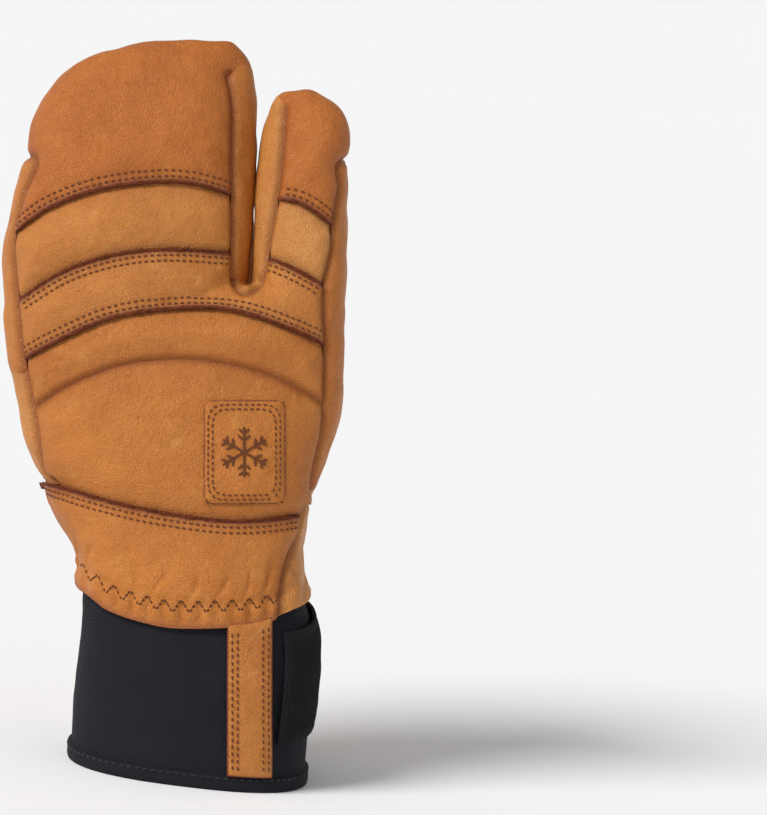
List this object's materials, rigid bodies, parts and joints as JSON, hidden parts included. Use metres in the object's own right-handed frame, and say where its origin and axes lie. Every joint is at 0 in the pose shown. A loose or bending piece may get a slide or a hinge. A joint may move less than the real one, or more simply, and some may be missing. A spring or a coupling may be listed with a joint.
{
  "type": "ski mitten",
  "caption": "Leather trigger-finger ski mitten for the left hand, with a padded hand, a neoprene cuff, a closure strap and a hanging eyelet.",
  "frame": {"origin": "on the resting plane of the cuff's rim, under the centre of the bounding box", "axes": "+Z from the cuff's rim up to the fingertips, +Y out of the palm, +X towards the thumb side"},
  "size_m": [0.1364, 0.1052, 0.2686],
  "materials": {
    "main_leather": "soft tan grain leather",
    "pale_leather": "lighter tan grain leather",
    "dark_leather": "darker tan suede-like leather",
    "neoprene": "black twill-faced neoprene",
    "elastic": "black ribbed elastic webbing",
    "hook_loop": "black hook and loop",
    "chrome": "polished plated metal",
    "padding": "white synthetic insulation",
    "fleece": "dark grey fleece lining"
  },
  "bodies": {
    "cuff": {"cuff_sleeve": "neoprene", "rim_binding": "neoprene", "back_strip": "main_leather", "strap_anchor": "elastic", "hang_strip": "main_leather", "loop_pad": "hook_loop"},
    "hand": {"finger_base_band": "main_leather", "knuckle_band": "main_leather", "back_hand_panel": "main_leather", "wrist_panel": "main_leather", "palm_wrist_outer": "main_leather", "palm_wrist_thumb": "pale_leather", "outer_gusset_lower": "main_leather", "outer_gusset_middle": "main_leather", "thumb_side_gusset_lower": "main_leather", "thumb_side_gusset_middle": "main_leather", "crotch_gusset": "main_leather", "pouch_crease": "main_leather", "index_crease": "main_leather", "palm_panel": "main_leather", "palm_patch": "pale_leather", "badge_patch": "pale_leather", "thumb_base_outer": "pale_leather", "thumb_base_gusset": "main_leather", "hand_insulation": "padding", "finger_root_insulation": "padding", "liner_bag": "fleece", "wrist_elastic": "elastic"},
    "pouch": {"pouch_cap": "dark_leather", "pouch_band": "main_leather", "pouch_palm": "main_leather", "pouch_inner_wall": "main_leather", "outer_gusset_upper": "main_leather", "pouch_insulation": "padding"},
    "index": {"index_cap": "dark_leather", "index_band": "pale_leather", "index_palm": "main_leather", "index_inner_wall": "main_leather", "thumb_side_gusset_upper": "main_leather", "index_insulation": "padding"},
    "thumb": {"thumb_outer": "pale_leather", "thumb_inner": "main_leather", "thumb_insulation": "padding"},
    "strap": {"strap_elastic": "elastic", "pull_tab": "pale_leather", "hook_pad": "hook_loop"},
    "hanging_tab": {"hang_tab": "main_leather", "eyelet": "chrome", "eyelet_washer": "chrome"}
  },
  "joints": [
    {"name": "wrist_bend", "type": "hinge", "parent": "cuff", "child": "hand", "pos_m": [0.01579, -0.01456, 0.07364], "axis": [-0.9925, -0.0149, -0.121], "range_deg": [-20, 20], "stiffness_Nm_per_rad": 3, "deforming": ["wrist_panel", "palm_wrist_outer", "palm_wrist_thumb", "wrist_elastic", "liner_bag"]},
    {"name": "pouch_curl", "type": "hinge", "parent": "hand", "child": "pouch", "pos_m": [0.0004, -0.00128, 0.18176], "axis": [-0.9925, -0.0149, -0.121], "range_deg": [-5, 35], "stiffness_Nm_per_rad": 0.2, "deforming": ["outer_gusset_middle", "pouch_crease", "crotch_gusset", "finger_root_insulation"]},
    {"name": "index_curl", "type": "hinge", "parent": "hand", "child": "index", "pos_m": [0.0004, -0.00128, 0.18176], "axis": [-0.9925, -0.0149, -0.121], "range_deg": [-5, 15], "stiffness_Nm_per_rad": 0.2, "deforming": ["thumb_side_gusset_middle", "index_crease"]},
    {"name": "thumb_swing", "type": "hinge", "parent": "hand", "child": "thumb", "pos_m": [0.03327, 0.0169, 0.12472], "axis": [0, 0.9925, -0.1219], "range_deg": [-5, 30], "stiffness_Nm_per_rad": 0.2, "deforming": ["thumb_base_outer", "thumb_base_gusset"]},
    {"name": "strap_open", "type": "hinge", "parent": "cuff", "child": "strap", "pos_m": [0.05892, 0.00608, 0.045], "axis": [0.1188, 0.0792, -0.9898], "range_deg": [0, 140]},
    {"name": "hang_tab_lift", "type": "hinge", "parent": "cuff", "child": "hanging_tab", "pos_m": [0.0145, 0.02255, 0.02535], "axis": [0.9999, 0.0149, 0], "range_deg": [0, 80], "stiffness_Nm_per_rad": 0.005}
  ]
}
